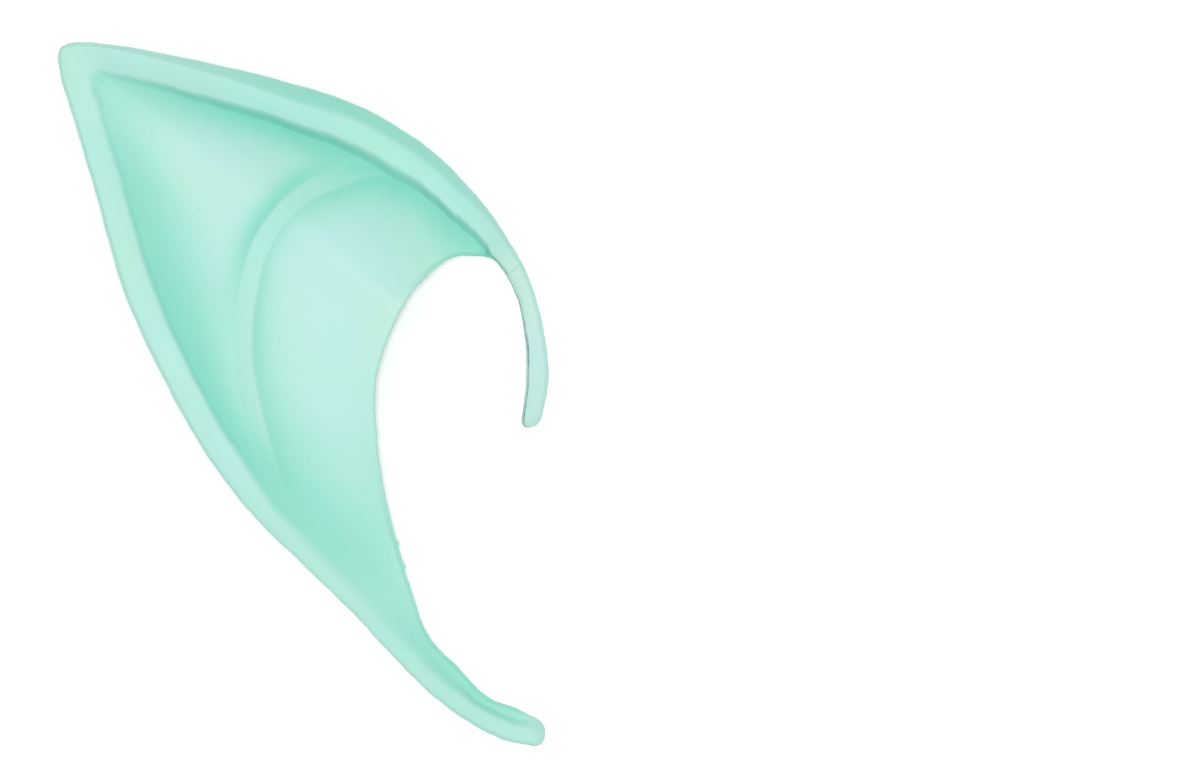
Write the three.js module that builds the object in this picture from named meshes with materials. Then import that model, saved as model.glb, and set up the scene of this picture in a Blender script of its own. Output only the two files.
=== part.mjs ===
import * as THREE from 'three';

// Slip-on pointed ear tip, cast in one skin of latex. It lies on its back, face up.
// +X is towards the front of the head, +Y towards the top, +Z out of the face.
// A front skin with a rolled rim and an inner ridge turns over at the outline into a back skin,
// and the wearer's ear goes into the pocket between them, through the C-shaped cut-out.

// Sizes in millimetres
const earLength = 100;
const earWidth = 69.7;
const earDepth = 18;
const skinWall = 1.3;
const rimWidth = 4.7;
const rimRise = 3.2;
const stepRun = 1.6;
const coveRun = 4;
const ridgeWidth = 2.4;
const ridgeRun = 1.6;
const ridgeRise = 1;
const dishDepth = 1.2;
const dishSpan = 20;
const lipRound = 0.5;
const backRound = 12;
const mouthSetback = 2.6;
const foldInset = 2.4;
const grooveDepth = 0.2;
const hookEnd = 1.9;
const tailEnd = 2.3;
const stationStep = 3.4;
const stationTurn = 16;

// Plan, from the end of the front hook over the top, round the tip and down to the end of the lobe tail.
// X in shares of earWidth and Y in shares of earLength, both from the middle of the ear tip.
const plan = table(['innerX', 'innerY', 'outerX', 'outerY'], [
  [0.447, -0.033, 0.490, -0.028],
  [0.455, 0.011, 0.502, 0.021],
  [0.455, 0.068, 0.496, 0.073],
  [0.439, 0.134, 0.478, 0.132],
  [0.412, 0.172, 0.451, 0.182],
  [0.386, 0.192, 0.424, 0.214],
  [0.350, 0.194, 0.390, 0.251],
  [0.312, 0.193, 0.339, 0.294],
  [0.280, 0.183, 0.261, 0.347],
  [0.251, 0.165, 0.122, 0.407],
  [0.230, 0.150, -0.036, 0.444],
  [0.216, 0.137, -0.230, 0.476],
  [0.206, 0.124, -0.394, 0.497],
  [0.199, 0.117, -0.473, 0.499],
  [0.195, 0.111, -0.496, 0.490],
  [0.191, 0.105, -0.495, 0.456],
  [0.183, 0.093, -0.468, 0.393],
  [0.168, 0.066, -0.422, 0.286],
  [0.151, 0.024, -0.363, 0.143],
  [0.148, -0.024, -0.285, 0.024],
  [0.155, -0.088, -0.199, -0.083],
  [0.170, -0.150, -0.105, -0.170],
  [0.193, -0.213, 0.002, -0.244],
  [0.223, -0.283, 0.102, -0.312],
  [0.258, -0.346, 0.194, -0.381],
  [0.315, -0.388, 0.264, -0.429],
  [0.378, -0.432, 0.338, -0.467],
  [0.436, -0.448, 0.411, -0.493],
  [0.467, -0.459, 0.459, -0.500],
]);
const lastRow = plan.length - 1;
const tipRow = 14;

// Crest of the inner ridge, from the foot of the top rim round the bowl to where the ridge runs out, and on.
// X in shares of earWidth and Y in shares of earLength, as in the plan.
const crest = table(['x', 'y'], [
  [0.207, 0.306],
  [0.128, 0.317],
  [0.095, 0.312],
  [0.044, 0.299],
  [0.001, 0.283],
  [-0.040, 0.258],
  [-0.091, 0.201],
  [-0.118, 0.115],
  [-0.121, 0.051],
  [-0.102, -0.021],
  [-0.079, -0.076],
  [-0.060, -0.112],
  [-0.035, -0.150],
  [0.110, -0.270],
]);
const crestEndRow = 20.5;

// Relief at some of the plan's rows. rimTop, outline, cutEdge and under are heights in shares of earDepth.
// drop is the floor beside the rim in shares of rimRise, sharp the step's share of that, and step the step in
// shares of stepRun: the rest of the drop is a cove. rim is the band in shares of rimWidth, and bevel its
// slanted outer side in shares of the band. ridge is in shares of ridgeRise, broad of ridgeWidth, flank the
// ridge's outer side in shares of ridgeRun, and pocket the depth of the pocket in shares of the full one.
const relief = table(
  ['row', 'rimTop', 'outline', 'cutEdge', 'under', 'drop', 'sharp', 'step', 'rim', 'bevel',
    'ridge', 'broad', 'flank', 'pocket'], [
    [0, 0.40, 0.34, 0.40, 0.23, 0.00, 1.0, 0.6, 0.40, 0.45, 0.0, 1.0, 1.0, 0.0],
    [2, 0.60, 0.54, 0.60, 0.43, 0.00, 1.0, 0.6, 0.40, 0.45, 0.0, 1.0, 1.0, 0.0],
    [4, 0.79, 0.71, 0.79, 0.56, 0.00, 1.0, 0.5, 0.50, 0.40, 0.0, 1.0, 1.0, 0.0],
    [5, 0.85, 0.74, 0.77, 0.52, 0.30, 1.0, 0.4, 0.64, 0.35, 0.0, 1.0, 1.0, 0.1],
    [6, 0.91, 0.77, 0.76, 0.42, 0.50, 1.0, 0.5, 0.68, 0.35, 0.0, 1.0, 1.0, 0.35],
    [7, 0.95, 0.78, 0.74, 0.28, 0.55, 1.0, 0.5, 0.82, 0.38, 0.0, 1.0, 1.0, 0.6],
    [8, 0.98, 0.78, 0.72, 0.13, 0.56, 1.0, 0.5, 0.94, 0.45, 0.0, 0.4, 1.0, 0.8],
    [9, 1.00, 0.76, 0.70, 0.03, 0.56, 0.9, 0.6, 1.04, 0.50, 0.75, 0.5, 1.0, 0.95],
    [10, 0.98, 0.72, 0.69, 0.00, 0.54, 0.85, 0.9, 1.08, 0.48, 1.0, 1.0, 1.0, 1.0],
    [11, 0.91, 0.67, 0.68, 0.00, 0.50, 0.8, 0.9, 0.96, 0.28, 1.0, 1.0, 1.0, 1.0],
    [12, 0.83, 0.61, 0.67, 0.00, 0.42, 0.5, 0.8, 0.86, 0.20, 1.0, 1.0, 1.0, 1.0],
    [14, 0.77, 0.58, 0.67, 0.00, 0.28, 0.15, 0.7, 0.78, 0.18, 1.0, 1.0, 1.0, 1.0],
    [16, 0.76, 0.58, 0.66, 0.00, 0.34, 0.1, 0.6, 0.78, 0.18, 1.0, 1.0, 1.0, 1.0],
    [17, 0.79, 0.61, 0.65, 0.00, 0.40, 0.1, 0.6, 0.80, 0.18, 1.0, 1.0, 1.5, 1.0],
    [18, 0.82, 0.63, 0.64, 0.00, 0.44, 0.1, 0.6, 0.82, 0.18, 1.0, 1.0, 2.8, 1.0],
    [19, 0.82, 0.63, 0.61, 0.00, 0.46, 0.1, 0.6, 0.80, 0.18, 1.0, 1.0, 3.2, 1.0],
    [20, 0.78, 0.58, 0.56, 0.00, 0.38, 0.1, 0.8, 0.74, 0.18, 0.9, 0.8, 3.2, 1.0],
    [21, 0.71, 0.50, 0.50, 0.00, 0.28, 0.05, 1.2, 0.55, 0.20, 0.0, 0.5, 3.0, 0.9],
    [22, 0.62, 0.42, 0.42, 0.00, 0.22, 0.0, 1.6, 0.40, 0.25, 0.0, 0.5, 3.0, 0.75],
    [23, 0.52, 0.34, 0.35, 0.00, 0.18, 0.0, 1.6, 0.40, 0.25, 0.0, 0.5, 3.0, 0.5],
    [24, 0.42, 0.27, 0.28, 0.01, 0.14, 0.1, 1.4, 0.42, 0.28, 0.0, 0.5, 3.0, 0.2],
    [26, 0.30, 0.20, 0.20, 0.03, 0.12, 0.5, 0.5, 0.48, 0.30, 0.0, 0.5, 3.0, 0.0],
    [28, 0.24, 0.16, 0.17, 0.05, 0.04, 0.5, 0.5, 0.46, 0.35, 0.0, 0.5, 3.0, 0.0],
  ]);

// Shares at which a section has its points: on the hollows' floors, the step, the rim's band and bevel,
// the back skin's round and flat, and the pocket's ceiling and floor.
const bowlShares = [0.2, 0.45, 0.7, 0.88];
const scaphaShares = [0.2, 0.42, 0.64, 0.84];
const stepShares = [1, 0.7, 0.35];
const bandShares = [1, 0.5, 0];
const bevelShares = [0.7, 0.35, 0.1, 0];
const roundAngles = [15, 30, 45, 60, 75, 90];
const flatShares = [0.35, 0.7, 1];
const pocketShares = [0, 0.2, 0.4, 0.6, 0.78, 0.9, 0.97];

function table(columns, rows) {
  return rows.map(row => Object.fromEntries(columns.map((name, column) => [name, row[column]])));
}

function mix(from, to, share) {
  return from + (to - from) * share;
}

function clamp(value, low, high) {
  return Math.min(Math.max(value, low), high);
}

// 0 to 1 with level ends.
function smooth(share) {
  const held = clamp(share, 0, 1);
  return held * held * (3 - 2 * held);
}

function planCurve(points, xName, yName) {
  const inPlace = points.map(row => new THREE.Vector3(row[xName] * earWidth, row[yName] * earLength, 0));
  return new THREE.CatmullRomCurve3(inPlace, false, 'centripetal');
}

const cutCurve = planCurve(plan, 'innerX', 'innerY');
const outlineCurve = planCurve(plan, 'outerX', 'outerY');
const crestLine = planCurve(crest, 'x', 'y').getPoints(130);

// The outline as short straight pieces, and its length from the hook's end to each of them.
const piecesPerRow = 20;
const outline = outlineCurve.getPoints(lastRow * piecesPerRow);
const lengths = [0];
for (let index = 1; index < outline.length; index++) {
  lengths.push(lengths[index - 1] + outline[index].distanceTo(outline[index - 1]));
}

function alongOutline(row) {
  const at = row * piecesPerRow;
  const index = clamp(Math.floor(at), 0, lengths.length - 2);
  return mix(lengths[index], lengths[index + 1], at - index);
}

// A smooth curve along the outline through a relief column, its slopes taken from the neighbouring rows.
function reliefAt(name, row) {
  const found = relief.findIndex(entry => entry.row > row);
  const index = (found < 0 ? relief.length : found) - 1;
  const left = clamp(index, 0, relief.length - 2);
  const span = alongOutline(relief[left + 1].row) - alongOutline(relief[left].row);
  const share = (alongOutline(row) - alongOutline(relief[left].row)) / span;
  const slopeAt = entry => {
    const before = relief[Math.max(entry - 1, 0)];
    const after = relief[Math.min(entry + 1, relief.length - 1)];
    return (after[name] - before[name]) / (alongOutline(after.row) - alongOutline(before.row));
  };
  const startWeight = 2 * share ** 3 - 3 * share ** 2 + 1;
  const startSlope = (share ** 3 - 2 * share ** 2 + share) * span * slopeAt(left);
  const endSlope = (share ** 3 - share ** 2) * span * slopeAt(left + 1);
  return startWeight * relief[left][name] + (1 - startWeight) * relief[left + 1][name] + startSlope + endSlope;
}

// The outline's two sides, which meet at the tip, run on past the hook and the tail so that the ends don't
// pinch the rim.
const topLine = outline.slice(0, tipRow * piecesPerRow + 1);
const backLine = outline.slice(tipRow * piecesPerRow);
topLine.unshift(topLine[0].clone().multiplyScalar(2).sub(topLine[12]));
backLine.push(backLine.at(-1).clone().multiplyScalar(2).sub(backLine.at(-13)));

function distanceToLine(line, x, y) {
  let nearest = Infinity;
  for (let index = 1; index < line.length; index++) {
    const start = line[index - 1];
    const runX = line[index].x - start.x;
    const runY = line[index].y - start.y;
    const share = clamp(((x - start.x) * runX + (y - start.y) * runY) / (runX ** 2 + runY ** 2), 0, 1);
    nearest = Math.min(nearest, Math.hypot(x - start.x - runX * share, y - start.y - runY * share));
  }
  return nearest;
}

// Distance to the nearer side, with the corner that both make inside the tip rounded off.
function distanceToOutline(x, y) {
  const top = distanceToLine(topLine, x, y);
  const back = distanceToLine(backLine, x, y);
  const blend = (top + back) / 4 + 1e-6;
  return Math.min(top, back) - Math.max(blend - Math.abs(top - back), 0) ** 2 / (4 * blend);
}

// How far out from the cut edge a section meets the ridge's crest, or null where it passes the ridge by.
function crestOut(cut, alongX, alongY) {
  let farthest = null;
  for (let index = 1; index < crestLine.length; index++) {
    const start = crestLine[index - 1];
    const runX = crestLine[index].x - start.x;
    const runY = crestLine[index].y - start.y;
    const turn = alongX * runY - alongY * runX;
    const out = ((start.x - cut.x) * runY - (start.y - cut.y) * runX) / turn;
    const share = ((start.x - cut.x) * alongY - (start.y - cut.y) * alongX) / turn;
    if (out > 0 && share >= 0 && share <= 1) {
      farthest = Math.max(farthest ?? 0, out);
    }
  }
  return farthest;
}

// A quarter of an ellipse: 1 at the outline, falling steeply and running out flat to 0 over the width.
function quarterRound(share) {
  return 1 - Math.sqrt(1 - (1 - clamp(share, 0, 1)) ** 2);
}

// One section from the cut edge out to the outline: a closed ring of points, out over the front skin,
// back under the back skin, into the pocket along its floor and out of it along its ceiling.
function sectionAt(row) {
  const cut = cutCurve.getPoint(row / lastRow);
  const rimPoint = outlineCurve.getPoint(row / lastRow);
  const length = cut.distanceTo(rimPoint);
  const alongX = (rimPoint.x - cut.x) / length;
  const alongY = (rimPoint.y - cut.y) / length;
  const height = name => earDepth * reliefAt(name, row);
  const share = name => reliefAt(name, row);
  const distanceAt = out => distanceToOutline(cut.x + alongX * out, cut.y + alongY * out);
  // How far out from the cut edge the outline is this near.
  const outAt = distance => {
    let low = 0;
    let high = length;
    for (let turn = 0; turn < 20; turn++) {
      const middle = (low + high) / 2;
      if (distanceAt(middle) > distance) {
        low = middle;
      } else {
        high = middle;
      }
    }
    return (low + high) / 2;
  };
  const reach = distanceAt(0);

  const rimTop = height('rimTop');
  const rimSide = height('outline');
  const cutEdge = height('cutEdge');
  const under = Math.max(height('under'), 0);
  const band = Math.min(rimWidth * share('rim'), reach * 0.62);
  const step = Math.min(stepRun * share('step'), (reach - band) * 0.4);
  const foot = rimTop - rimRise * share('drop');
  const wall = Math.min(skinWall, (cutEdge - under) * 0.3);
  const lip = Math.min(lipRound, wall * 0.6, reach * 0.12);
  const pocket = share('pocket');

  // Front skin: the floor from cut edge to rim is dished, the ridge stands on it, and beside the rim it
  // rises in a cove and a step.
  const footOut = outAt(band + step);
  const floorRun = footOut - lip;
  const floorAt = out => {
    const at = clamp((out - lip) / (length * 0.97 - lip), 0, 1);
    const dished = 1 - Math.abs(2 * at - 1) ** 2.5;
    return mix(cutEdge, foot, at) - dishDepth * dished * Math.min(1, reach / dishSpan);
  };
  const sharp = share('sharp');
  const frontAt = (out, raised = 0) => {
    const inward = Math.max(distanceAt(out) - band, 0);
    const inStep = clamp(inward / step, 0, 1);
    const stepped = sharp * mix(smooth(inStep), inStep ** 1.5, sharp);
    const fallen = stepped + (1 - sharp) * (1 - Math.exp(-inward / coveRun));
    return mix(rimTop, floorAt(out) + raised, fallen);
  };
  const ring = [];
  const add = (out, z) => ring.push(new THREE.Vector3(cut.x + alongX * out, cut.y + alongY * out, z));
  [0, 45, 90].forEach(angle => {
    const turn = THREE.MathUtils.degToRad(angle);
    add(lip * (1 - Math.cos(turn)), frontAt(lip) - lip * (1 - Math.sin(turn)));
  });

  // Ridge: its places and heights across the crest, which is flat on top and steeper towards the bowl
  const met = crestOut(cut, alongX, alongY);
  const plainOut = row < tipRow ? footOut : mix(lip, footOut, 0.6);
  const wanted = met === null ? plainOut : mix(met, plainOut, clamp((row - crestEndRow) / 2, 0, 1));
  const half = Math.min(ridgeWidth * share('broad') / 2, floorRun * 0.08);
  const inner = Math.min(ridgeRun, floorRun * 0.12);
  const ridgeOut = clamp(wanted, lip + floorRun * 0.25 + half + inner, footOut - floorRun * 0.12 - half);
  const outer = Math.min(ridgeRun * share('flank'), (footOut - ridgeOut - half) * 0.7);
  const ridgeFrom = ridgeOut - half - inner;
  const ridgeTo = ridgeOut + half + outer;
  const ridgeProfile = [[ridgeFrom, 0], [ridgeOut - half, 0.95], [ridgeOut, 1], [ridgeOut + half, 0.95],
    [ridgeOut + half + outer * 0.4, 0.4], [ridgeTo, 0]];
  bowlShares.map(at => mix(lip, ridgeFrom, at)).forEach(out => add(out, frontAt(out)));
  ridgeProfile.forEach(([out, rise]) => add(out, frontAt(out, ridgeRise * share('ridge') * rise)));
  scaphaShares.map(at => mix(ridgeTo, footOut, at)).forEach(out => add(out, frontAt(out)));
  stepShares.map(at => outAt(band + step * at)).forEach(out => add(out, frontAt(out)));

  // Rim
  const bevel = band * share('bevel');
  bandShares.forEach(at => add(outAt(mix(bevel, band, at)), rimTop));
  bevelShares.forEach(at => add(outAt(bevel * at), mix(rimTop, rimSide, quarterRound(at))));

  // Back skin
  const round = Math.min(backRound, reach * 0.85);
  const backAt = distance => mix(under, rimSide, quarterRound(distance / round));
  roundAngles.forEach(angle => {
    const distance = round * (1 - Math.cos(THREE.MathUtils.degToRad(angle)));
    add(outAt(distance), backAt(distance));
  });
  const flatOut = outAt(round);
  const mouthOut = Math.min(mouthSetback * pocket, flatOut * 0.7);
  flatShares.forEach(at => add(mix(flatOut, mouthOut, at), under));

  // Pocket: its floor and ceiling follow the skins, and close on each other in the fold at its far end.
  const foldOut = mix(grooveDepth, outAt(Math.min(foldInset, reach * 0.5)), pocket);
  const innerRound = Math.max(round - wall, wall);
  const floorHeight = out => {
    const share = (distanceAt(out) - wall) / innerRound;
    return mix(under + wall, Math.max(rimSide, under + 2 * wall), pocket * quarterRound(share));
  };
  const ceilingHeight = out => floorAt(Math.min(out, footOut)) - wall;
  const closing = at => Math.sqrt(1 - at ** mix(1.5, 5, pocket));
  const pocketAt = (at, side) => {
    const floorOut = mix(mouthOut, mouthOut + foldOut - mouthOut * pocket, at);
    const ceilingOut = foldOut * at;
    const floor = floorHeight(floorOut);
    const ceiling = Math.max(ceilingHeight(ceilingOut), floor + wall * 0.2);
    const middle = (floor + ceiling) / 2;
    const gap = (ceiling - floor) / 2;
    add(side < 0 ? floorOut : ceilingOut, middle + side * gap * closing(at));
  };
  pocketShares.forEach(at => pocketAt(at, -1));
  pocketAt(1, 0);
  [...pocketShares].reverse().forEach(at => pocketAt(at, 1));
  return ring;
}

// Sections at every row and evenly between rows: no two are much more than stationStep millimetres apart,
// and the outline turns by no more than about stationTurn degrees from one to the next.
const sections = [];
for (let row = 0; row < lastRow; row++) {
  const lengthOf = curve => curve.getPoint(row / lastRow).distanceTo(curve.getPoint((row + 1) / lastRow));
  const heading = outlineCurve.getTangent(row / lastRow);
  const turned = THREE.MathUtils.radToDeg(heading.angleTo(outlineCurve.getTangent((row + 1) / lastRow)));
  const longest = Math.max(lengthOf(cutCurve), lengthOf(outlineCurve));
  const count = Math.ceil(Math.max(longest / stationStep, turned / stationTurn));
  for (let turn = 0; turn < count; turn++) {
    sections.push(sectionAt(row + turn / count));
  }
}
sections.push(sectionAt(lastRow));

// A round end: the last section shrunk towards its middle as it moves on past the end.
const endAngles = [25, 50, 72];
function middleOf(ring) {
  return new THREE.Box3().setFromPoints(ring).getCenter(new THREE.Vector3());
}

function roundEnd(ring, before, endLength) {
  const middle = middleOf(ring);
  const onward = middle.clone().sub(middleOf(before)).normalize().multiplyScalar(endLength);
  const rings = endAngles.map(angle => {
    const turn = THREE.MathUtils.degToRad(angle);
    const shift = onward.clone().multiplyScalar(Math.sin(turn));
    return ring.map(point => point.clone().sub(middle).multiplyScalar(Math.cos(turn)).add(middle).add(shift));
  });
  return { rings, tip: middle.clone().add(onward) };
}

const hook = roundEnd(sections[0], sections[1], hookEnd);
const tail = roundEnd(sections.at(-1), sections.at(-2), tailEnd);
const rings = [...hook.rings.reverse(), ...sections, ...tail.rings];
const ringSize = rings[0].length;

function earGeometry() {
  const points = [...rings.flat(), hook.tip, tail.tip];
  const hookTip = points.length - 2;
  const tailTip = points.length - 1;
  const faces = [];
  for (let column = 0; column < ringSize; column++) {
    const next = (column + 1) % ringSize;
    const lastRing = (rings.length - 1) * ringSize;
    faces.push(hookTip, next, column);
    faces.push(tailTip, lastRing + column, lastRing + next);
    for (let ring = 0; ring < rings.length - 1; ring++) {
      const here = ring * ringSize;
      const there = here + ringSize;
      faces.push(here + column, here + next, there + next);
      faces.push(here + column, there + next, there + column);
    }
  }
  const geometry = new THREE.BufferGeometry().setFromPoints(points);
  geometry.setIndex(faces);
  geometry.computeBoundingBox();
  const middle = geometry.boundingBox.getCenter(new THREE.Vector3());
  geometry.translate(-middle.x, -middle.y, -geometry.boundingBox.min.z);
  geometry.computeVertexNormals();
  return geometry;
}

const latex = new THREE.MeshStandardMaterial({ color: 0xb4eadf, roughness: 0.45, metalness: 0 });
const earTip = new THREE.Mesh(earGeometry(), latex);
earTip.name = 'elf_ear';

const part = new THREE.Group();
part.add(earTip);

export default part;
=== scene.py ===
import bpy
import numpy as np
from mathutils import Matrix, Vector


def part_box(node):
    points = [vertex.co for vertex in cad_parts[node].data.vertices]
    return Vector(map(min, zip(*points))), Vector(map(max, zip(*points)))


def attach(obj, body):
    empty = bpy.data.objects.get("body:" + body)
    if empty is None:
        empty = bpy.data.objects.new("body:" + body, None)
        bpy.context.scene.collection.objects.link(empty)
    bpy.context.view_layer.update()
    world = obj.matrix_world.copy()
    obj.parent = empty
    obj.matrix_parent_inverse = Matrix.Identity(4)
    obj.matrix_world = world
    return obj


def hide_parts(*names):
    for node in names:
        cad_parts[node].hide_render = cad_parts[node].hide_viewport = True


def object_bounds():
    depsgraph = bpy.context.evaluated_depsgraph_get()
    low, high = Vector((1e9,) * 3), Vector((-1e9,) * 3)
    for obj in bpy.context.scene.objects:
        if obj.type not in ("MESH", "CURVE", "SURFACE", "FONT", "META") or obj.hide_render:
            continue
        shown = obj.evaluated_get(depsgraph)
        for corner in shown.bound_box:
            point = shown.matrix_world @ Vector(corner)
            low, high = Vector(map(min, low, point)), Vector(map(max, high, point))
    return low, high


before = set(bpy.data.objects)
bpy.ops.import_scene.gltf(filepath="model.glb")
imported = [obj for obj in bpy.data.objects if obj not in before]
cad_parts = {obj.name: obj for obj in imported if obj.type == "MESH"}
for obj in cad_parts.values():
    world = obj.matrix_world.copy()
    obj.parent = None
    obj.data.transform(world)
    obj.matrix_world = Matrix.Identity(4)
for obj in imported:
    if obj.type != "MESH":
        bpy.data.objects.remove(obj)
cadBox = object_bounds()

mm = 0.001

# The ear tip's sizes in millimetres: the main ones are the solid model's, the fine ones are only here
earSizes = {
    "length": 100.0,
    "width": 69.7,
    "depth": 18.0,
    "skin": 1.3,
    "rimWidth": 4.7,
    "rimRise": 3.2,
    "rimCrown": 0.1,  # the band stands this much prouder along its middle
    "rimWander": 0.13,  # wander of the band's inner edge
    "slantEven": 0.62,  # share of the outer side's fall that is an even slant, the rest is rounded
    "cornerBlend": 0.25,  # rounding of the rim's inner corner at the tip, as a share of both distances
    "stepRun": 1.6,
    "coveRun": 4.0,  # the floor rises this far out towards the step
    "ridgeWidth": 2.4,  # flat top of the ridge
    "ridgeSoft": 0.15,  # rounding at the edges of the flat top
    "ridgeRun": 1.0,  # its sides run out over this length
    "ridgeRise": 0.55,
    "creaseDrop": 0.15,
    "creaseStart": 0.35,  # the creases set in over this length beside the flat top
    "creaseAt": 0.6,  # and are deepest here
    "creaseRun": 2.0,
    "dishDepth": 1.2,
    "dishSpan": 20.0,  # the floor is fully dished where it is a good deal wider than this
    "dishPower": 2.5,
    "floorShare": 0.97,  # the floor's own slope would reach the rim at this share of the section
    "lipRound": 0.45,
    "backRound": 12.0,
    "mouthSetback": 2.6,
    "foldInset": 2.4,
    "grooveDepth": 0.05,  # where hook and tail are closed, a groove this deep is left of the pocket
    "hookEnd": 1.9,
    "tailEnd": 2.3,
    "hookFoldRow": 3.97,  # small slanting fold across the hook: its row, then width and slant in rows
    "hookFoldRows": 0.045,
    "hookFoldSlant": 0.25,
    "hookFoldDepth": 0.16,
    "waveDepth": 0.09,  # hand-trimmed wander of the outline, and half as much of the cut edge
    "waveWidth": 6.0,  # the wander is full where the ear is this wide or wider
    "trimReach": 1.4,  # wander and nicks fade out over this length in from the outline
    "nickFall": 3.0,  # and the nicks over this height down the back
    "burrReach": 0.9,
}

# The most that each takes where the ear is narrow or thin, in shares of the room there
earFits = {"band": 0.85, "step": 0.8, "wall": 0.3, "lip": 0.6, "back": 0.85, "mouth": 0.7, "fold": 0.5}

# How finely the surface is sampled: sections, points across each form, and points along the helping lines
earPoints = {
    "sections": 400,
    "turnWeight": 9.0,  # millimetres of spacing that a radian of turn counts as
    "foldWeight": 6.0,  # sections are this many times denser at the hook's fold
    "lip": 7,
    "bowl": 38,
    "ridge": 50,
    "hollow": 40,
    "step": 20,
    "band": 13,
    "slant": 21,
    "backRound": 17,
    "backFlat": 9,
    "pocket": 12,
    "outline": 330,
    "ridgeLine": 90,
    "measure": 3000,
    "halvings": 17,
}

# Plan rows from the hook's end over the top, round the tip and down to the tail's end:
# cut edge x, y and outline x, y, in shares of width and length from the middle
planRows = np.array([
    (0.447, -0.033, 0.490, -0.028),
    (0.455, 0.011, 0.502, 0.021),
    (0.455, 0.068, 0.496, 0.073),
    (0.439, 0.134, 0.478, 0.132),
    (0.412, 0.172, 0.451, 0.182),
    (0.386, 0.192, 0.424, 0.214),
    (0.351, 0.196, 0.390, 0.251),
    (0.312, 0.195, 0.339, 0.294),
    (0.280, 0.183, 0.261, 0.347),
    (0.251, 0.165, 0.122, 0.407),
    (0.230, 0.150, -0.036, 0.444),
    (0.216, 0.137, -0.230, 0.476),
    (0.206, 0.124, -0.394, 0.497),
    (0.199, 0.117, -0.473, 0.499),
    (0.195, 0.111, -0.496, 0.490),
    (0.191, 0.105, -0.495, 0.456),
    (0.183, 0.093, -0.468, 0.393),
    (0.168, 0.066, -0.422, 0.286),
    (0.151, 0.024, -0.363, 0.143),
    (0.148, -0.024, -0.285, 0.024),
    (0.155, -0.088, -0.199, -0.083),
    (0.170, -0.150, -0.105, -0.170),
    (0.193, -0.213, 0.002, -0.244),
    (0.223, -0.283, 0.102, -0.312),
    (0.258, -0.346, 0.194, -0.381),
    (0.315, -0.388, 0.264, -0.429),
    (0.378, -0.432, 0.338, -0.467),
    (0.436, -0.448, 0.411, -0.493),
    (0.467, -0.459, 0.459, -0.500),
])
lastRow = len(planRows) - 1
tipRow = 14

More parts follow.
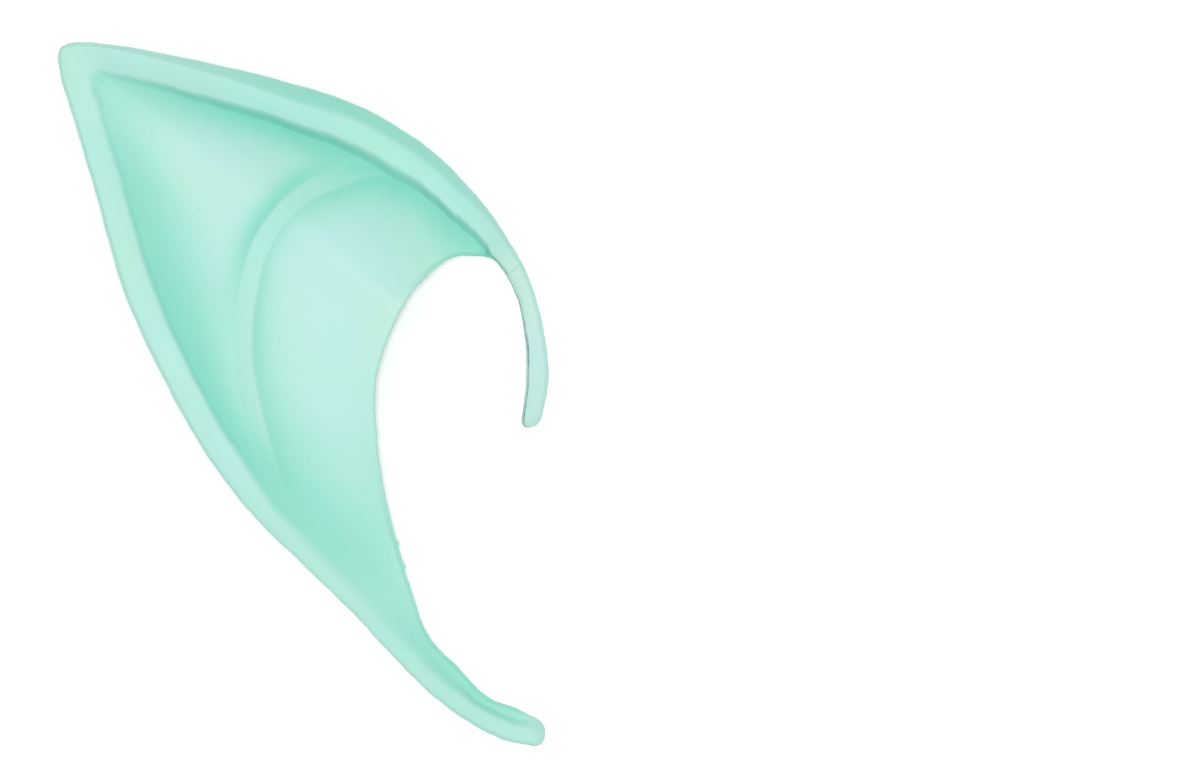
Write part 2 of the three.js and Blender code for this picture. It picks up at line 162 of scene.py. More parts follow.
# Relief at some plan rows. Heights in shares of the depth, drop of the rise, sharp the drop's share in the
# step, rim of the rim's width, bevel of the band, step, ridge, broad, flank and pocket of their full size.
reliefNames = "row rimTop outline cutEdge under drop sharp rim bevel step ridge broad flank pocket".split()
reliefRows = np.array([
    (0, 0.40, 0.34, 0.40, 0.23, 0.00, 1.0, 0.40, 0.30, 0.6, 0.0, 1.0, 1.0, 0.0),
    (2, 0.60, 0.54, 0.60, 0.43, 0.00, 1.0, 0.43, 0.30, 0.6, 0.0, 1.0, 1.0, 0.0),
    (4, 0.79, 0.71, 0.79, 0.56, 0.00, 1.0, 0.53, 0.25, 0.5, 0.0, 1.0, 1.0, 0.0),
    (5, 0.85, 0.74, 0.77, 0.52, 0.26, 1.0, 0.62, 0.25, 0.4, 0.0, 1.0, 1.0, 0.1),
    (6, 0.91, 0.77, 0.76, 0.42, 0.42, 0.45, 0.60, 0.30, 0.6, 0.0, 1.0, 1.0, 0.35),
    (7, 0.95, 0.78, 0.74, 0.28, 0.46, 0.42, 0.77, 0.38, 0.65, 0.0, 1.0, 1.0, 0.6),
    (8, 0.98, 0.78, 0.72, 0.13, 0.48, 0.42, 0.90, 0.43, 0.65, 0.0, 0.4, 1.0, 0.8),
    (9, 1.00, 0.76, 0.70, 0.03, 0.50, 0.42, 1.06, 0.42, 0.9, 0.75, 0.5, 1.0, 0.95),
    (10, 0.98, 0.72, 0.69, 0.00, 0.52, 0.45, 1.10, 0.48, 0.9, 1.0, 1.0, 1.0, 1.0),
    (11, 0.91, 0.67, 0.68, 0.00, 0.49, 0.45, 0.98, 0.28, 0.9, 1.0, 1.0, 1.0, 1.0),
    (12, 0.83, 0.61, 0.67, 0.00, 0.42, 0.3, 0.86, 0.14, 0.8, 1.0, 1.0, 1.0, 1.0),
    (14, 0.77, 0.58, 0.67, 0.00, 0.28, 0.15, 0.78, 0.10, 0.7, 1.0, 1.0, 1.0, 1.0),
    (16, 0.76, 0.58, 0.66, 0.00, 0.34, 0.1, 0.78, 0.10, 0.6, 1.0, 1.0, 1.0, 1.0),
    (17, 0.79, 0.61, 0.65, 0.00, 0.40, 0.1, 0.80, 0.10, 0.6, 1.0, 1.0, 1.5, 1.0),
    (18, 0.82, 0.63, 0.64, 0.00, 0.44, 0.1, 0.82, 0.10, 0.6, 1.0, 1.0, 2.8, 1.0),
    (19, 0.82, 0.63, 0.61, 0.00, 0.46, 0.1, 0.77, 0.10, 0.6, 1.0, 1.0, 3.2, 1.0),
    (20, 0.78, 0.58, 0.56, 0.00, 0.38, 0.1, 0.74, 0.10, 0.8, 0.9, 0.8, 3.2, 1.0),
    (21, 0.71, 0.50, 0.50, 0.00, 0.28, 0.05, 0.55, 0.10, 1.2, 0.0, 0.5, 3.0, 0.9),
    (22, 0.62, 0.42, 0.42, 0.00, 0.22, 0.00, 0.40, 0.12, 2.0, 0.0, 0.5, 3.0, 0.75),
    (23, 0.52, 0.34, 0.35, 0.00, 0.18, 0.00, 0.40, 0.12, 2.0, 0.0, 0.5, 3.0, 0.5),
    (24, 0.42, 0.27, 0.28, 0.01, 0.14, 0.10, 0.42, 0.15, 1.6, 0.0, 0.5, 3.0, 0.2),
    (26, 0.30, 0.20, 0.20, 0.03, 0.10, 0.50, 0.50, 0.16, 0.6, 0.0, 0.5, 3.0, 0.0),
    (28, 0.24, 0.16, 0.17, 0.05, 0.04, 0.50, 0.49, 0.20, 0.8, 0.0, 0.5, 3.0, 0.0),
])

# Deeper green at some plan rows, mostly painted shade: beside the top rim and the back rim, and how far it
# runs in from each in millimetres, on the ridge, in the crease outside it, in the one inside it and how far
# that one runs, and all over the floor, the rim's band and its slanted side. Beside the rims, in the creases
# and on the slanted side it is painted shade; on the ridge, the floor and the band it only deepens the green
shadeNames = "row top topRun back backRun crest outer inner innerRun floor face side".split()
shadeRows = np.array([
    (0, 0.0, 3.0, 0.0, 7.0, 0.0, 0.0, 0.0, 2.0, 0.15, 0.07, 0.25),
    (2, 0.0, 3.0, 0.0, 7.0, 0.0, 0.0, 0.0, 2.0, 0.1, 0.04, 0.22),
    (4, 0.0, 3.0, 0.0, 7.0, 0.0, 0.0, 0.0, 2.0, 0.05, 0.08, 0.2),
    (5, 0.9, 3.0, 0.0, 7.0, 0.0, 0.0, 0.0, 2.0, 0.5, 0.3, 0.4),
    (6, 0.64, 3.0, 0.0, 7.0, 0.0, 0.0, 0.0, 2.0, 0.58, 0.4, 0.5),
    (7, 0.8, 3.0, 0.0, 7.0, 0.0, 0.0, 0.1, 2.0, 0.54, 0.46, 0.6),
    (8, 0.8, 3.0, 0.0, 7.0, 0.0, 0.0, 0.3, 2.0, 0.44, 0.48, 0.68),
    (9, 0.83, 1.6, 0.0, 7.0, 0.25, 0.0, 0.8, 3.2, 0.4, 0.48, 0.75),
    (10, 0.93, 3.4, 0.0, 7.0, 0.28, 0.35, 0.76, 2.9, 0.34, 0.48, 0.7),
    (11, 0.92, 3.2, 0.0, 7.0, 0.32, 0.88, 0.58, 3.0, 0.28, 0.43, 0.48),
    (12, 0.7, 4.1, 0.1, 7.0, 0.34, 0.88, 0.42, 3.2, 0.2, 0.36, 0.38),
    (14, 0.4, 5.0, 0.3, 6.0, 0.36, 0.88, 0.32, 3.0, 0.18, 0.36, 0.33),
    (16, 0.2, 4.0, 0.55, 7.2, 0.28, 0.77, 0.34, 2.6, 0.2, 0.38, 0.3),
    (17, 0.08, 4.0, 0.7, 7.4, 0.24, 0.52, 0.45, 2.6, 0.22, 0.38, 0.3),
    (18, 0.0, 4.0, 0.78, 6.4, 0.16, 0.15, 0.58, 3.2, 0.26, 0.36, 0.28),
    (19, 0.0, 4.0, 0.8, 3.9, 0.08, 0.0, 0.52, 4.0, 0.28, 0.36, 0.28),
    (20, 0.0, 4.0, 0.76, 3.4, 0.0, 0.0, 0.42, 6.5, 0.38, 0.36, 0.28),
    (21, 0.0, 4.0, 0.53, 7.0, 0.0, 0.0, 0.0, 5.0, 0.44, 0.36, 0.26),
    (22, 0.0, 4.0, 0.36, 6.0, 0.0, 0.0, 0.0, 5.0, 0.48, 0.36, 0.26),
    (23, 0.0, 4.0, 0.22, 5.0, 0.0, 0.0, 0.0, 5.0, 0.41, 0.36, 0.26),
    (24, 0.0, 4.0, 0.3, 5.0, 0.0, 0.0, 0.0, 5.0, 0.5, 0.38, 0.28),
    (26, 0.0, 4.0, 0.42, 1.5, 0.0, 0.0, 0.0, 5.0, 0.54, 0.42, 0.42),
    (27, 0.0, 4.0, 0.05, 1.5, 0.0, 0.0, 0.0, 5.0, 0.62, 0.4, 0.36),
    (28, 0.0, 4.0, 0.0, 1.5, 0.0, 0.0, 0.0, 5.0, 0.36, 0.34, 0.38),
])

# How the painted shade fades: the powers of its fall beside the rims and inside the ridge, the lengths in
# millimetres over which it sets in beside the ridge and fades on its crest, the share of the step over which
# it changes, and the depth on the back and the painted shade in the pocket
shadeFade = {
    "topPower": 1.8,
    "backPower": 2.3,
    "innerPower": 1.6,
    "innerStart": 0.3,
    "crestRun": 0.4,
    "stepShare": 0.6,
    "backSkin": 0.4,
    "groove": 0.35,
    "pocket": 0.5,  # the open pocket's painted shade is this much deeper than the groove's
    "hookFold": 0.12,
}

# Crest of the ridge from the top rim's foot round the bowl to where it runs out, in shares of width and
# length
ridgePoints = np.array([
    (0.207, 0.306),
    (0.163, 0.317),
    (0.128, 0.317),
    (0.095, 0.312),
    (0.044, 0.299),
    (0.001, 0.283),
    (-0.040, 0.258),
    (-0.071, 0.229),
    (-0.091, 0.201),
    (-0.106, 0.162),
    (-0.118, 0.115),
    (-0.121, 0.051),
    (-0.114, 0.014),
    (-0.102, -0.021),
    (-0.091, -0.050),
    (-0.079, -0.076),
    (-0.060, -0.112),
    (-0.035, -0.150),
    (0.050, -0.220),
    (0.110, -0.270),
])

# Small nicks in the trimmed outline and burrs on the cut edge: row, depth in millimetres and width in rows
nicks = np.array([
    (10.85, 0.30, 0.05),
    (10.05, 0.20, 0.09),
    (9.0, 0.30, 0.07),
    (15.6, 0.15, 0.08),
    (23.0, 0.20, 0.10),
])
burrs = np.array([
    (22.0, 0.28, 0.05),
    (22.45, 0.32, 0.05),
    (19.5, 0.18, 0.06),
])

# Bluish clouds in the latex: middle in shares of width and length, and reach in millimetres
blueClouds = np.array([
    (0.054, -0.036, 6.0),
    (0.095, 0.212, 5.0),
    (0.066, 0.085, 5.0),
    (0.290, 0.300, 7.0),
    (-0.221, 0.205, 5.5),
    (-0.139, 0.411, 7.0),
    (-0.252, 0.063, 5.0),
    (-0.139, -0.100, 4.5),
    (-0.364, 0.478, 3.5),
])


def mix(start, end, share):
    return start + (end - start) * share


def curveThrough(points, at):
    # Centripetal Catmull-Rom curve through the points, read at row numbers
    padded = np.vstack([2 * points[0] - points[1], points, 2 * points[-1] - points[-2]])
    row = np.clip(np.floor(at).astype(int), 0, len(points) - 2)
    share = (at - row)[:, None]
    a, b, c, d = (padded[row + k] for k in range(4))
    gapOf = lambda p, q: np.maximum(np.linalg.norm(q - p, axis=1), 1e-9)[:, None] ** 0.5
    ab, bc, cd = gapOf(a, b), gapOf(b, c), gapOf(c, d)
    slopeB = ((b - a) / ab - (c - a) / (ab + bc) + (c - b) / bc) * bc
    slopeC = ((c - b) / bc - (d - b) / (bc + cd) + (d - c) / cd) * bc
    s2, s3 = share ** 2, share ** 3
    leaving = (2 * s3 - 3 * s2 + 1) * b + (s3 - 2 * s2 + share) * slopeB
    return leaving + (3 * s2 - 2 * s3) * c + (s3 - s2) * slopeC


def columnAt(table, names, name, at):
    # Cubic along the outline between a table's rows, with slopes taken from the neighbouring rows
    places = alongRim(table[:, 0])
    values = table[:, names.index(name)]
    before = np.maximum(np.arange(len(places)) - 1, 0)
    after = np.minimum(np.arange(len(places)) + 1, len(places) - 1)
    slopes = (values[after] - values[before]) / (places[after] - places[before])
    left = np.clip(np.searchsorted(table[:, 0], at, "right") - 1, 0, len(places) - 2)
    span = places[left + 1] - places[left]
    s = (alongRim(at) - places[left]) / span
    start = 2 * s ** 3 - 3 * s ** 2 + 1
    bend = (s ** 3 - 2 * s ** 2 + s) * span * slopes[left] + (s ** 3 - s ** 2) * span * slopes[left + 1]
    return start * values[left] + (1 - start) * values[left + 1] + bend


def wander(at, seed):
    # A slow hand-made wander between about -1 and 1: a few sines of unrelated lengths
    phases = np.array([0.3, 1.9, 4.1, 5.3]) + seed
    lengths = np.array([2.9, 5.3, 9.7, 17.1])
    weights = np.array([0.4, 0.3, 0.2, 0.1])
    return (np.sin(at[..., None] * lengths + phases) * weights).sum(-1)


def quarterRound(share):
    # A quarter of an ellipse: 1 at the outline, falling steeply and running out flat to 0
    return 1 - np.sqrt(1 - (1 - np.clip(share, 0, 1)) ** 2)


def smooth(share):
    # 0 to 1 with level ends: 3 s squared less 2 s cubed
    share = np.clip(share, 0, 1)
    return share * share * (3 - 2 * share)


planScale = np.array([earSizes["width"], earSizes["length"]])
cutPoints = planRows[:, :2] * planScale
rimPoints = planRows[:, 2:] * planScale
closer = np.linspace(0, 1, earPoints["outline"]) ** 2  # the outline's two sides, finest at the tip
topLine = curveThrough(rimPoints, tipRow * (1 - closer[::-1]))
backLine = curveThrough(rimPoints, tipRow + (lastRow - tipRow) * closer)
topLine = np.vstack([2 * topLine[0] - topLine[6], topLine])
backLine = np.vstack([backLine, 2 * backLine[-1] - backLine[-7]])
ridgeStops = np.linspace(0, len(ridgePoints) - 1, earPoints["ridgeLine"])
ridgeLine = curveThrough(ridgePoints * planScale, ridgeStops)


def alongRim(at):
    # Length of the outline from the hook's end to a row
    fine = np.linspace(0, lastRow, earPoints["measure"])
    steps = np.linalg.norm(np.diff(curveThrough(rimPoints, fine), axis=0), axis=1)
    return np.interp(at, fine, np.concatenate([[0], np.cumsum(steps)]))


def lineDistance(line, x, y):
    # Shortest way to a line, over its short straight pieces one after the other
    nearest = np.full(np.broadcast(x, y).shape, np.inf)
    for start, end in zip(line[:-1], line[1:]):
        run = end - start
        share = np.clip(((x - start[0]) * run[0] + (y - start[1]) * run[1]) / (run @ run), 0, 1)
        square = (x - start[0] - run[0] * share) ** 2 + (y - start[1] - run[1] * share) ** 2
        nearest = np.minimum(nearest, square)
    return np.sqrt(nearest)


def ridgeCrossing(cut, way):
    # How far out from the cut edge each section's straight line meets the ridge line, or nan if it doesn't
    start, run = ridgeLine[None, :-1], np.diff(ridgeLine, axis=0)[None]
    gap = start - cut[:, None]
    line = way[:, None]
    turn = line[..., 0] * run[..., 1] - line[..., 1] * run[..., 0]
    out = (gap[..., 0] * run[..., 1] - gap[..., 1] * run[..., 0]) / turn
    along = (gap[..., 0] * line[..., 1] - gap[..., 1] * line[..., 0]) / turn
    met = (along >= 0) & (along <= 1) & (out > 0)
    return np.where(met.any(1), np.where(met, out, 0).max(1), np.nan)


def stationRows():
    # Row numbers so spread that the sections are evenly far apart, and closer where the outline turns
    fine = np.linspace(0, lastRow, earPoints["measure"])
    rim = curveThrough(rimPoints, fine)
    cut = curveThrough(cutPoints, fine)
    rimSteps = np.diff(rim, axis=0)
    heading = np.unwrap(np.arctan2(rimSteps[:, 1], rimSteps[:, 0]))
    turned = np.abs(np.diff(heading, prepend=heading[0]))
    steps = np.maximum(np.linalg.norm(rimSteps, axis=1), np.linalg.norm(np.diff(cut, axis=0), axis=1))
    fromFold = (fine[1:] - earSizes["hookFoldRow"]) / (4 * earSizes["hookFoldRows"])
    denser = 1 + earPoints["foldWeight"] * np.exp(-(fromFold ** 2))
    total = np.concatenate([[0], np.cumsum((steps + earPoints["turnWeight"] * turned) * denser)])
    return np.interp(np.linspace(0, total[-1], earPoints["sections"]), total, fine)


def earRings():
    # Every section as a closed ring: out over the front skin, back under the back skin, in along the
    # pocket's floor and out along its ceiling. Arrays run over sections down and over points across.
    size, fit, points = earSizes, earFits, earPoints
    at = stationRows()
    row = at[:, None]
    cut = curveThrough(cutPoints, at)
    rim = curveThrough(rimPoints, at)
    length = np.linalg.norm(rim - cut, axis=1)[:, None]
    way = (rim - cut) / length
    column = {name: columnAt(reliefRows, reliefNames, name, at)[:, None] for name in reliefNames[1:]}
    shade = {name: columnAt(shadeRows, shadeNames, name, at)[:, None] for name in shadeNames[1:]}

    def distancesAt(out):
        x, y = cut[:, :1] + way[:, :1] * out, cut[:, 1:] + way[:, 1:] * out
        return lineDistance(topLine, x, y), lineDistance(backLine, x, y)

    def distanceAt(out):
        # The nearer of the two outlines, with the corner that both make inside the tip rounded off
        top, back = distancesAt(out)
        blend = size["cornerBlend"] * (top + back) + 1e-6
        return np.minimum(top, back) - np.maximum(blend - np.abs(top - back), 0) ** 2 / (4 * blend)

    def outAt(distance):
        # Halving: how far out from the cut edge the outline is this near
        low = np.zeros(np.broadcast(length, distance).shape)
        high = low + length
        for _ in range(points["halvings"]):
            middle = (low + high) / 2
            far = distanceAt(middle) > distance
            low = np.where(far, middle, low)
            high = np.where(far, high, middle)
        return (low + high) / 2

    reach = distanceAt(np.zeros_like(length))
    rimTop = size["depth"] * column["rimTop"]
    rimSide = size["depth"] * column["outline"]
    cutEdge = size["depth"] * column["cutEdge"]
    under = size["depth"] * np.maximum(column["under"], 0)
    wandered = size["rimWander"] * wander(row * 1.7, 2.0)
    band = np.minimum(size["rimWidth"] * column["rim"] + wandered, reach * fit["band"])
    step = np.minimum(size["stepRun"] * column["step"], (reach - band) * fit["step"])
    foot = rimTop - size["rimRise"] * column["drop"]
    wall = np.minimum(size["skin"], (cutEdge - under) * fit["wall"])
    lip = np.minimum(size["lipRound"], wall * fit["lip"])
    pocket = column["pocket"]

    outs, heights, hollows = [], [], []

    def add(out, z, hollow=0.0):
        shape = np.broadcast_shapes(out.shape, z.shape, np.shape(hollow))
        outs.append(np.broadcast_to(out, shape))
        heights.append(np.broadcast_to(z, shape))
        hollows.append(np.broadcast_to(hollow, shape))

    # Front skin: the dished floor from cut edge to rim, with the ridge, the creases beside it, the cove that
    # rises towards the rim, and the step. Where a section misses the ridge, the ridge counts as beyond the
    # floor near the hook, and as two thirds of the way out near the tail.
    footOut = outAt(band + step)
    bandOut = outAt(band)
    met = ridgeCrossing(cut, way)[:, None]
    ridgeOut = np.where(np.isnan(met), np.where(row < tipRow, footOut + 0.1, mix(lip, footOut, 0.65)), met)
    ridgeTop = size["ridgeWidth"] / 2 * column["broad"]
    ridgeHalf = ridgeTop + 1.5 * size["creaseRun"]
    bowlEnd = np.clip(ridgeOut - ridgeHalf, mix(lip, footOut, 0.3), mix(lip, footOut, 0.75))
    ridgeEnd = np.clip(ridgeOut + ridgeHalf, mix(lip, footOut, 0.5), mix(lip, footOut, 0.92))
    floorReach = length * size["floorShare"]
    wide = reach / size["dishSpan"]
    dish = size["dishDepth"] * wide / (1 + wide ** 4) ** 0.25

    def floorAt(out):
        share = np.clip((out - lip) / (floorReach - lip), 0, 1)
        dished = 1 - np.abs(2 * share - 1) ** size["dishPower"]
        return mix(cutEdge, foot, share) - dish * dished

    def frontAt(out):
        # Height and painted shade, as a deeper green, from the distances to the outline and to the ridge
        # line
        x, y = cut[:, :1] + way[:, :1] * out, cut[:, 1:] + way[:, 1:] * out
        fromTop, fromBack = distancesAt(out)
        across = lineDistance(ridgeLine, x, y) * np.where(out < ridgeOut, -1, 1)
        beside = np.maximum(np.abs(across) - ridgeTop, 0)
        flank = size["ridgeRun"] * np.where(across < 0, 1, column["flank"])
        soft, sharp = size["ridgeSoft"], column["sharp"]
        ridge = column["ridge"] * np.exp((soft - np.hypot(beside, soft)) / flank)
        crease = np.exp(-(((beside - size["creaseAt"]) / size["creaseRun"]) ** 2))
        crease = (1 - np.exp(-beside / size["creaseStart"])) * crease
        outer = shade["outer"] * np.where(across < 0, 0, crease)
        fading = np.exp(-((beside / shade["innerRun"]) ** shadeFade["innerPower"]))
        fading = np.where(across < 0, fading, 0)
        inner = shade["inner"] * fading * (1 - np.exp(-beside / shadeFade["innerStart"]))
        crest = shade["crest"] * np.exp(-((beside / shadeFade["crestRun"]) ** 2))
        inward = np.maximum(distanceAt(out) - band, 0)
        fallen = sharp * mix(smooth(inward / step), np.clip(inward / step, 0, 1) ** 1.5, sharp)
        fallen = fallen + (1 - sharp) * (1 - np.exp(-inward / size["coveRun"]))
        z = mix(rimTop, floorAt(out) + size["ridgeRise"] * ridge - size["creaseDrop"] * outer, fallen)
        pastTop = np.maximum(fromTop - band - step, 0) / shade["topRun"]
        pastBack = np.maximum(fromBack - band - step, 0) / shade["backRun"]
        top = shade["top"] * np.exp(-(pastTop ** shadeFade["topPower"]))
        back = shade["back"] * np.exp(-(pastBack ** shadeFade["backPower"]))
        # bare is the share left without painted shade; the step blends from the band's value to it
        bare = (1 - top) * (1 - back) * (1 - inner) * (1 - outer) * (1 - crest) * (1 - shade["floor"])
        return z, mix(shade["face"], 1 - bare, smooth(inward / (shadeFade["stepShare"] * step)))

    # Cut edge of the front skin
    turn = np.radians(np.linspace(0, 90, points["lip"]))[None, :]
    edgeShade = frontAt(lip + 0 * length)[1]
    add(lip * (1 - np.cos(turn)), cutEdge - lip * (1 - np.sin(turn)), edgeShade)

    # Bowl, ridge, hollow beyond it, and the step: the last two have most points near the step's foot
    even = lambda count: np.linspace(0, 1, count)[None, 1:]
    for start, end, share in ((lip, bowlEnd, even(points["bowl"])),
                              (bowlEnd, ridgeEnd, even(points["ridge"])),
                              (ridgeEnd, footOut, 1 - (1 - even(points["hollow"])) ** 1.4),
                              (footOut, bandOut, even(points["step"]) ** 1.5)):
        out = mix(start, end, share)
        add(out, *frontAt(out))

    # The rim's band and its slanted outer side; the side gets painted shade where it turns from the light
    bevel = band * column["bevel"]
    share = even(points["band"])
    add(outAt(mix(band, bevel, share)), rimTop + size["rimCrown"] * 4 * share * (1 - share), shade["face"])
    slant = np.sin(np.radians(np.linspace(0, 90, points["slant"])))[None, 1:]
    fall = size["slantEven"] * slant ** 1.3 + (1 - size["slantEven"]) * (1 - np.sqrt(1 - slant ** 6))
    # painted shade on the slanted side, growing from the band's value
    sideShade = mix(shade["face"], shade["side"], smooth(slant * 3))
    add(outAt(bevel * (1 - slant)), mix(rimTop, rimSide, fall), sideShade)

    front = sum(part.shape[1] for part in outs)

    # Back skin
    backRound = np.minimum(size["backRound"], reach * fit["back"])
    turn = np.radians(np.linspace(0, 90, points["backRound"]))[None, 1:]
    add(outAt(backRound * (1 - np.cos(turn))), mix(under, rimSide, 1 - np.sin(turn)), shadeFade["backSkin"])
    flatOut = outAt(backRound)
    mouthOut = np.minimum(size["mouthSetback"] * pocket, flatOut * fit["mouth"])
    add(mix(flatOut, mouthOut, even(points["backFlat"])), under, shadeFade["backSkin"])

    # Pocket: floor and ceiling follow the skins and close on each other in the fold
    foldOut = mix(size["grooveDepth"], outAt(np.minimum(size["foldInset"], reach * fit["fold"])), pocket)
    innerRound = np.maximum(backRound - wall, wall)

    def pocketAt(share, side):
        floorOut = mix(mouthOut, mouthOut + foldOut - mouthOut * pocket, share)
        ceilingOut = foldOut * share
        rounding = pocket * quarterRound((distanceAt(floorOut) - wall) / innerRound)
        floor = mix(under + wall, np.maximum(rimSide, under + 2 * wall), rounding)
        ceiling = np.maximum(floorAt(ceilingOut) - wall, floor + wall * 0.2)
        closing = np.sqrt(1 - share ** mix(1.5, 5.0, pocket))
        z = (floor + ceiling) / 2 + side * (ceiling - floor) / 2 * closing
        # painted shade in the groove, deeper where the pocket is open
        add(floorOut if side < 0 else ceilingOut, z, shadeFade["groove"] + shadeFade["pocket"] * pocket)

    inward = np.concatenate([np.linspace(0, 0.9, points["pocket"]), [0.95, 0.985]])[None, :]
    pocketAt(inward, -1)
    pocketAt(np.ones((1, 1)), 1)
    pocketAt(inward[:, ::-1], 1)

    out = np.concatenate(outs, axis=1)
    z = np.concatenate(heights, axis=1)
    hollow = np.concatenate(hollows, axis=1)

    # Small slanting fold across the hook, with painted shade in its crease
    aside = row - size["hookFoldRow"] - size["hookFoldSlant"] * (out / length - 0.5)
    fold = np.exp(-((aside / size["hookFoldRows"]) ** 2)) * (np.arange(out.shape[1]) < front)
    z = z - size["hookFoldDepth"] * fold
    # painted shade along the fold's crease
    hollow = hollow + shadeFade["hookFold"] * fold

    # Hand-trimmed outline: a slow wander and a few nicks, fading out within the rim and down the back
    nick = sum(depth * np.exp(-(((row - place) / width) ** 2)) for place, depth, width in nicks)
    nick = nick * np.exp(-(((z - rimTop) / size["nickFall"]) ** 2))
    fade = np.exp(-((distanceAt(out) / size["trimReach"]) ** 2)) * np.clip(length / size["waveWidth"], 0, 1)
    out = out - (nick + size["waveDepth"] * wander(row * 3.1, 0.0)) * fade
    burr = sum(height * np.exp(-(((row - place) / width) ** 2)) for place, height, width in burrs)
    fade = np.exp(-((out / size["burrReach"]) ** 2))
    out = out - (burr + 0.5 * size["waveDepth"] * wander(row * 2.3, 4.0)) * fade
    rings = np.stack([cut[:, :1] + way[:, :1] * out, cut[:, 1:] + way[:, 1:] * out, z], axis=2)
    return rings, mix(latexLook["plainDepth"], 1, hollow)


def roundEnd(ring, before, endLength):
    # The last section shrinks towards its middle by the cosine and moves on by the sine, a little squarer
    middleOf = lambda points: (points.min(0) + points.max(0)) / 2
    middle = middleOf(ring)
    onward = middle - middleOf(before)
    onward = onward / np.linalg.norm(onward) * endLength
    turn = np.radians([8, 16, 25, 35, 45, 55, 65, 74, 82, 87])[:, None, None]
    return middle + (ring - middle) * np.cos(turn) ** 0.8 + onward * np.sin(turn) ** 0.9, middle + onward


def makeEar():
    # The rings joined by four-sided faces and closed at both ends by a fan of triangles to one point
    points, hollow = earRings()
    hookRings, hookTip = roundEnd(points[0], points[3], earSizes["hookEnd"])
    tailRings, tailTip = roundEnd(points[-1], points[-4], earSizes["tailEnd"])
    rings = np.concatenate([hookRings[::-1], points, tailRings])
    count, across = rings.shape[:2]
    hookHollow, tailHollow = hollow[:1].repeat(len(hookRings), 0), hollow[-1:].repeat(len(tailRings), 0)
    hollow = np.concatenate([hookHollow, hollow, tailHollow])
    vertices = np.concatenate([rings.reshape(-1, 3), [hookTip, tailTip]])
    vertices *= mm
    low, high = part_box("elf_ear")
    low, high = np.array(low), np.array(high)
    shift = (low + high) / 2 - (vertices.max(0) + vertices.min(0)) / 2
    shift[2] = low[2] - vertices[:, 2].min()
    vertices += shift

    index = np.arange(count * across).reshape(count, across)
    beside = np.roll(index, -1, axis=1)
    quads = np.stack([index[:-1], beside[:-1], beside[1:], index[1:]], axis=2).reshape(-1, 4)
    hookFan = np.stack([np.full(across, count * across), beside[0], index[0]], axis=1)
    tailFan = np.stack([np.full(across, count * across + 1), index[-1], beside[-1]], axis=1)
    mesh = bpy.data.meshes.new("latexEar")
    mesh.from_pydata(vertices.tolist(), [], quads.tolist() + hookFan.tolist() + tailFan.tolist())
    mesh.polygons.foreach_set("use_smooth", np.ones(len(mesh.polygons), dtype=bool))
    apart = np.linalg.norm(vertices[:, None, :2] - blueClouds[:, :2] * planScale * mm, axis=2)
    bluish = np.exp(-((apart / (blueClouds[:, 2] * mm)) ** 2)).max(1)
    # hollow carries the painted shade and the deeper green per point, bluish the clouds
    fields = {"hollow": np.concatenate([hollow.ravel(), [hollow[0, 0], hollow[-1, 0]]]), "bluish": bluish}
    for name, values in fields.items():
        field = mesh.attributes.new(name, "FLOAT", "POINT")
        field.data.foreach_set("value", values.astype(np.float32))
    mesh.update()
    ear = bpy.data.objects.new("latex_ear", mesh)
    bpy.context.collection.objects.link(ear)
    return ear


def linear(red, green, blue):
    # Display colour, 0 to 255, to the renderer's linear colour
    shares = np.array([red, green, blue]) / 255
    return (*np.where(shares < 0.04045, shares / 12.92, ((shares + 0.055) / 1.055) ** 2.4), 1.0)


latexLook = {
    "paleMint": linear(181, 203, 195),
    "blueMint": linear(180, 203, 206),
    # the deeper green of the plain skin, and the colour the painted shade goes to
    "deepAndShadedMint": linear(104, 189, 169),
    "plainDepth": 0.23,  # share of the deep and shaded mint in the plain skin, where the shade rows have 0
    "patchScale": 75.0,
    "patchDetail": 3.0,
    "patchBlue": 1.0,
    "patchLow": 0.44,  # the patches turn bluish between these two of their values
    "patchHigh": 0.79,
    "cloudPush": 0.3,
    "roughness": 0.56,
    "roughnessSpread": 0.05,
    "poreScale": 1500.0,
    "poreDetail": 2.0,
    "poreHeight": 0.00003,
}


def makeMottleGroup():
    # Cloudy patches and fine grain, both from object coordinates
    group = bpy.data.node_groups.new("latexMottle", "ShaderNodeTree")
    sockets = {"Patch Scale": "INPUT", "Grain Scale": "INPUT", "Patches": "OUTPUT", "Grain": "OUTPUT"}
    for name, way in sockets.items():
        group.interface.new_socket(name=name, in_out=way, socket_type="NodeSocketFloat")
    nodes, links = group.nodes, group.links
    start, end = nodes.new("NodeGroupInput"), nodes.new("NodeGroupOutput")
    place = nodes.new("ShaderNodeTexCoord")
    patches, grain = nodes.new("ShaderNodeTexNoise"), nodes.new("ShaderNodeTexNoise")
    patches.inputs["Detail"].default_value = latexLook["patchDetail"]
    grain.inputs["Detail"].default_value = latexLook["poreDetail"]
    for noise, scale, output in ((patches, "Patch Scale", "Patches"), (grain, "Grain Scale", "Grain")):
        links.new(place.outputs["Object"], noise.inputs["Vector"])
        links.new(start.outputs[scale], noise.inputs["Scale"])
        links.new(noise.outputs["Fac"], end.inputs[output])
    return group


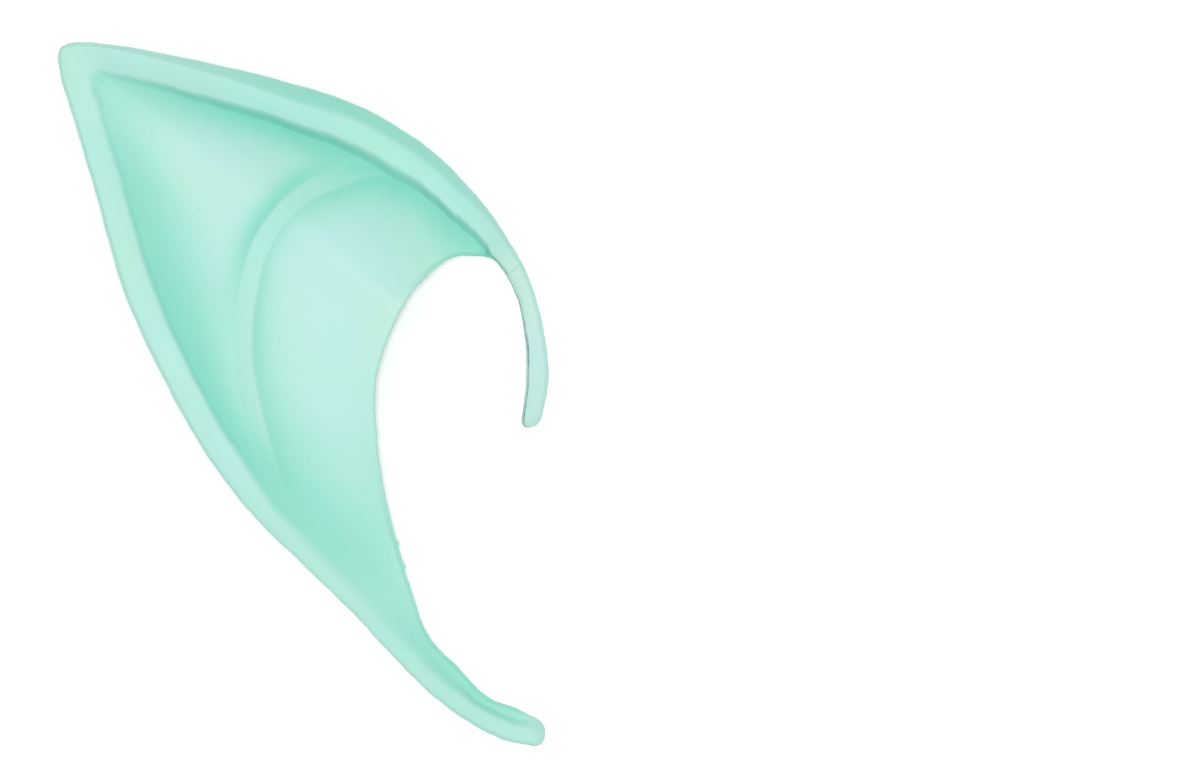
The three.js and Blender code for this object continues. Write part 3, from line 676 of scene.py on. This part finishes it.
def makeLatex():
    look = latexLook
    material = bpy.data.materials.new("mintLatex")
    material.use_nodes = True
    nodes, links = material.node_tree.nodes, material.node_tree.links
    skin = nodes["Principled BSDF"]
    mottle = nodes.new("ShaderNodeGroup")
    mottle.node_tree = makeMottleGroup()
    mottle.inputs["Patch Scale"].default_value = look["patchScale"]
    mottle.inputs["Grain Scale"].default_value = look["poreScale"]
    hollow, bluish = nodes.new("ShaderNodeAttribute"), nodes.new("ShaderNodeAttribute")
    hollow.attribute_name = "hollow"
    bluish.attribute_name = "bluish"

    def mixed(start, end, factor):
        node = nodes.new("ShaderNodeMix")
        node.data_type = "RGBA"
        for value, socket in ((start, node.inputs[6]), (end, node.inputs[7])):
            if isinstance(value, tuple):
                socket.default_value = value
            else:
                links.new(value, socket)
        links.new(factor, node.inputs[0])
        return node.outputs[2]

    clouded = nodes.new("ShaderNodeMath")  # the patches, pushed up in the bluish clouds
    clouded.operation = "MULTIPLY_ADD"
    links.new(bluish.outputs["Fac"], clouded.inputs[0])
    clouded.inputs[1].default_value = look["cloudPush"]
    links.new(mottle.outputs["Patches"], clouded.inputs[2])
    patches = nodes.new("ShaderNodeMapRange")
    patches.inputs["From Min"].default_value = look["patchLow"]
    patches.inputs["From Max"].default_value = look["patchHigh"]
    patches.inputs["To Max"].default_value = look["patchBlue"]
    links.new(clouded.outputs["Value"], patches.inputs["Value"])
    pale = mixed(look["paleMint"], look["blueMint"], patches.outputs["Result"])
    # painted shade: the colour deepens towards the shaded mint where the hollow field is high
    links.new(mixed(pale, look["deepAndShadedMint"], hollow.outputs["Fac"]), skin.inputs["Base Color"])
    sheen = nodes.new("ShaderNodeMapRange")
    sheen.inputs["To Min"].default_value = look["roughness"] - look["roughnessSpread"]
    sheen.inputs["To Max"].default_value = look["roughness"] + look["roughnessSpread"]
    links.new(mottle.outputs["Patches"], sheen.inputs["Value"])
    links.new(sheen.outputs["Result"], skin.inputs["Roughness"])
    bump = nodes.new("ShaderNodeBump")
    bump.inputs["Distance"].default_value = look["poreHeight"]
    links.new(mottle.outputs["Grain"], bump.inputs["Height"])
    links.new(bump.outputs["Normal"], skin.inputs["Normal"])
    return material


ear = makeEar()
ear.data.materials.append(makeLatex())
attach(ear, "root")
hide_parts("elf_ear")
print("ear tip made:", len(ear.data.vertices), "points")

floorLook = {"half": 3.0, "colour": (0.95, 0.95, 0.95, 1.0), "roughness": 0.9, "below": 0.0002}


def makeFloor():
    half, below = floorLook["half"], floorLook["below"]
    mesh = bpy.data.meshes.new("paleFloor")
    corners = [(-half, -half, -below), (half, -half, -below), (half, half, -below), (-half, half, -below)]
    mesh.from_pydata(corners, [], [(0, 1, 2, 3)])
    floor = bpy.data.objects.new("pale_floor", mesh)
    bpy.context.collection.objects.link(floor)
    material = bpy.data.materials.new("palePaper")
    material.use_nodes = True
    paper = material.node_tree.nodes["Principled BSDF"]
    paper.inputs["Base Color"].default_value = floorLook["colour"]
    paper.inputs["Roughness"].default_value = floorLook["roughness"]
    mesh.materials.append(material)


studio = {
    "ambient": 0.85,
    "boxSize": 0.8,
    "boxHeight": 5.2,
    "boxPower": 157.0,
    "boxPlace": (0.04, 0.0),
}


def makeStudio():
    world = bpy.data.worlds.new("studioAir")
    world.use_nodes = True
    world.node_tree.nodes["Background"].inputs["Color"].default_value = (1, 1, 1, 1)
    world.node_tree.nodes["Background"].inputs["Strength"].default_value = studio["ambient"]
    bpy.context.scene.world = world
    light = bpy.data.lights.new("softBox", "AREA")
    light.shape = "DISK"
    light.size = studio["boxSize"]
    light.energy = studio["boxPower"]
    box = bpy.data.objects.new("softBox", light)
    box.location = (*studio["boxPlace"], studio["boxHeight"])
    bpy.context.collection.objects.link(box)
    bpy.context.scene.view_settings.view_transform = "Standard"


# The photograph: its size and the ear tip's middle and height in it, in pixels. The lens is long and looks
# straight down.
photo = {
    "wide": 1200,
    "high": 784,
    "earX": 303.4,
    "earY": 394.4,
    "earHigh": 703.8,
    "lens": 1000.0,
    "sensor": 36.0,
    "clipEnd": 20.0,
}


def makeCamera():
    low, high = np.array(cadBox[0]), np.array(cadBox[1])
    middle = (low + high) / 2
    perPixel = (high[1] - low[1]) / photo["earHigh"]
    camera = bpy.data.cameras.new("photoCamera")
    camera.lens = photo["lens"]
    camera.sensor_width = photo["sensor"]
    camera.clip_end = photo["clipEnd"]
    away = photo["wide"] * perPixel * photo["lens"] / photo["sensor"]
    view = bpy.data.objects.new("photoCamera", camera)
    view.location = (
        middle[0] + (photo["wide"] / 2 - photo["earX"]) * perPixel,
        middle[1] - (photo["high"] / 2 - photo["earY"]) * perPixel,
        middle[2] + away,
    )
    bpy.context.collection.objects.link(view)
    bpy.context.scene.camera = view


makeFloor()
makeStudio()
makeCamera()
print("floor, light and camera made")
